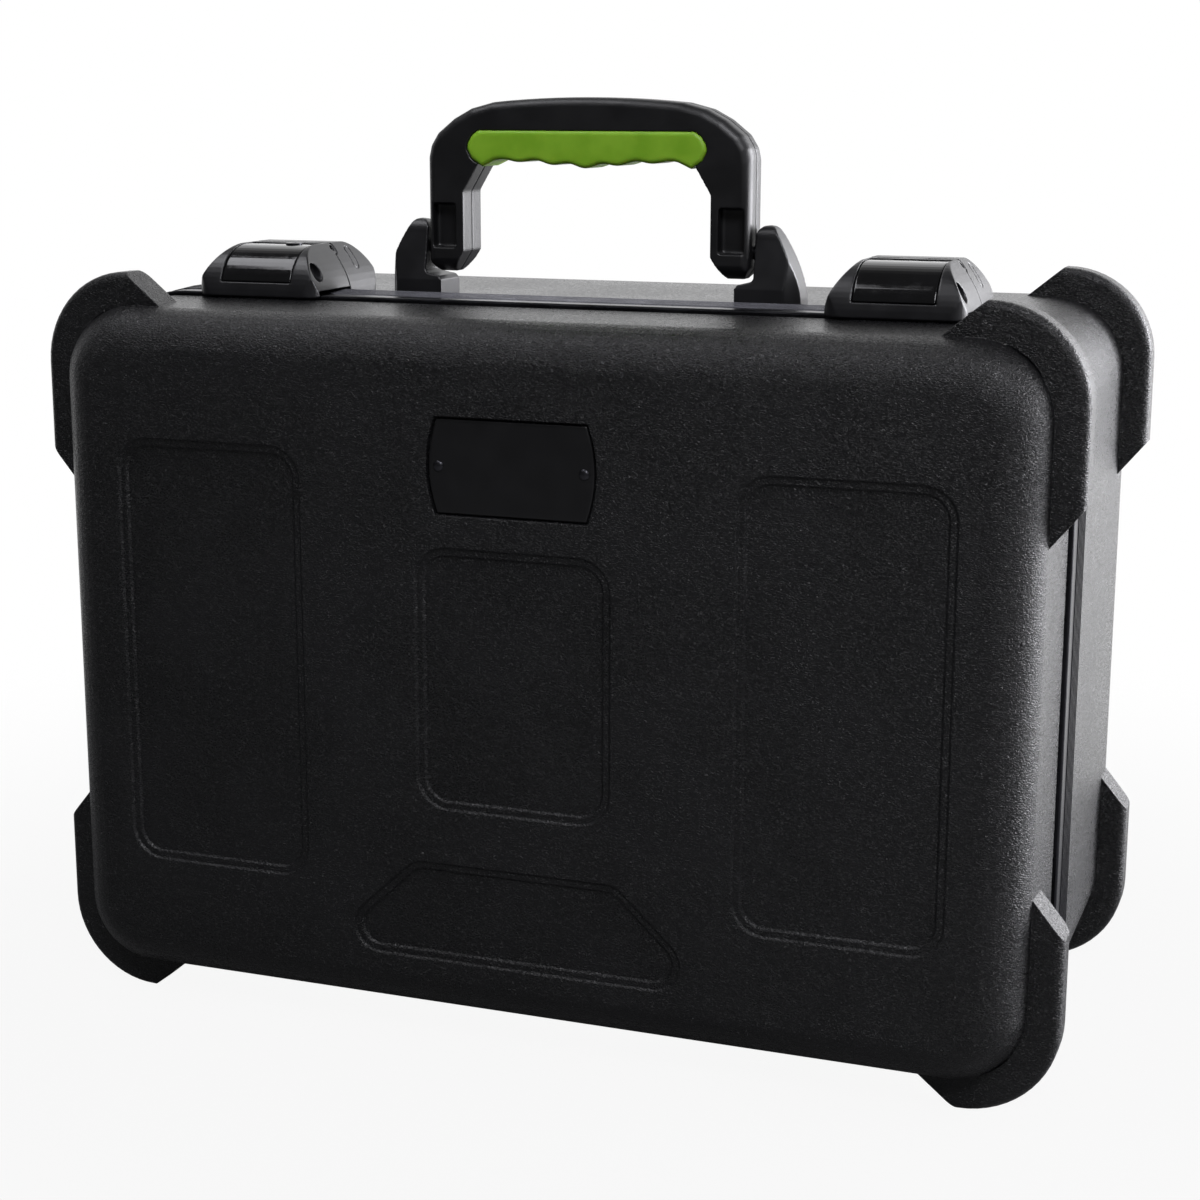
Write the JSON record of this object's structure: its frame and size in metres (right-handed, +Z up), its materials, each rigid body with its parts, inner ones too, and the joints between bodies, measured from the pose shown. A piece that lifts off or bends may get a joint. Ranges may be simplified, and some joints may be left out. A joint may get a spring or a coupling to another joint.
{
  "type": "microphone case",
  "caption": "Moulded case on corner bumpers, with a hinged lid, ribbed metal edge, folding carry handle, trigger latches and foam pockets for handheld microphones.",
  "frame": {"origin": "on the floor under the middle of the case, standing on its corner bumpers", "axes": "+X to the right seen from the lid, +Y from the lid to the back of the base, +Z up towards the handle"},
  "size_m": [0.5, 0.2563, 0.4415],
  "materials": {
    "shell": "moulded leather grain, satin",
    "valance": "black anodised, extruded ribs",
    "latch": "fine satin texture",
    "trigger": "gloss black",
    "handle": "fine matte texture",
    "grip": "soft-touch green",
    "badge": "satin, bare",
    "steel": "bright zinc plated",
    "dark_steel": "black oxide",
    "foam": "fine-celled charcoal foam"
  },
  "bodies": {
    "base": {"base_shell": "shell", "base_valance": "valance", "base_foam": "foam", "base_pad": "foam", "hinge_leaf_base": "dark_steel", "hinge_pin": "steel", "latch_base_left": "latch", "latch_base_right": "latch", "latch_hinge_pins": "steel", "bracket_left": "handle", "bracket_right": "handle", "bracket_screws": "steel", "handle_pins": "steel"},
    "lid": {"lid_shell": "shell", "lid_valance": "valance", "lid_foam": "foam", "badge_plate": "badge", "badge_rivets": "dark_steel", "hinge_leaf_lid": "dark_steel", "latch_keepers": "dark_steel"},
    "handle": {"handle_front_half": "handle", "handle_rear_half": "handle", "handle_grip": "grip", "handle_screws": "steel"},
    "frame_left": {"latch_frame_left": "latch", "trigger_pin_left": "steel", "trigger_spring_left": "steel"},
    "frame_right": {"latch_frame_right": "latch", "trigger_pin_right": "steel", "trigger_spring_right": "steel"},
    "trigger_left": {"trigger_left": "trigger"},
    "trigger_right": {"trigger_right": "trigger"},
    "lock": {"latch_lock": "steel"}
  },
  "joints": [
    {"name": "lid_hinge", "type": "hinge", "parent": "base", "child": "lid", "pos_m": [0, -0.0647, 0.0063], "axis": [1, 0, 0], "range_deg": [0, 100]},
    {"name": "handle_swing", "type": "hinge", "parent": "base", "child": "handle", "pos_m": [0, -0.024, 0.371], "axis": [1, 0, 0], "range_deg": [-90, 90]},
    {"name": "latch_left", "type": "hinge", "parent": "base", "child": "frame_left", "pos_m": [-0.157, -0.0304, 0.3684], "axis": [-1, 0, 0], "range_deg": [0, 60]},
    {"name": "latch_right", "type": "hinge", "parent": "base", "child": "frame_right", "pos_m": [0.157, -0.0304, 0.3684], "axis": [-1, 0, 0], "range_deg": [0, 60]},
    {"name": "trigger_left_pull", "type": "hinge", "parent": "frame_left", "child": "trigger_left", "pos_m": [-0.157, -0.06, 0.3585], "axis": [-1, 0, 0], "range_deg": [0, 15], "stiffness_Nm_per_rad": 0.05, "springref_deg": -8.59},
    {"name": "trigger_right_pull", "type": "hinge", "parent": "frame_right", "child": "trigger_right", "pos_m": [0.157, -0.06, 0.3585], "axis": [-1, 0, 0], "range_deg": [0, 15], "stiffness_Nm_per_rad": 0.05, "springref_deg": -8.59},
    {"name": "lock_turn", "type": "hinge", "parent": "trigger_left", "child": "lock", "pos_m": [-0.15, -0.0414, 0.3713], "axis": [0, 0, 1], "range_deg": [0, 90]}
  ]
}
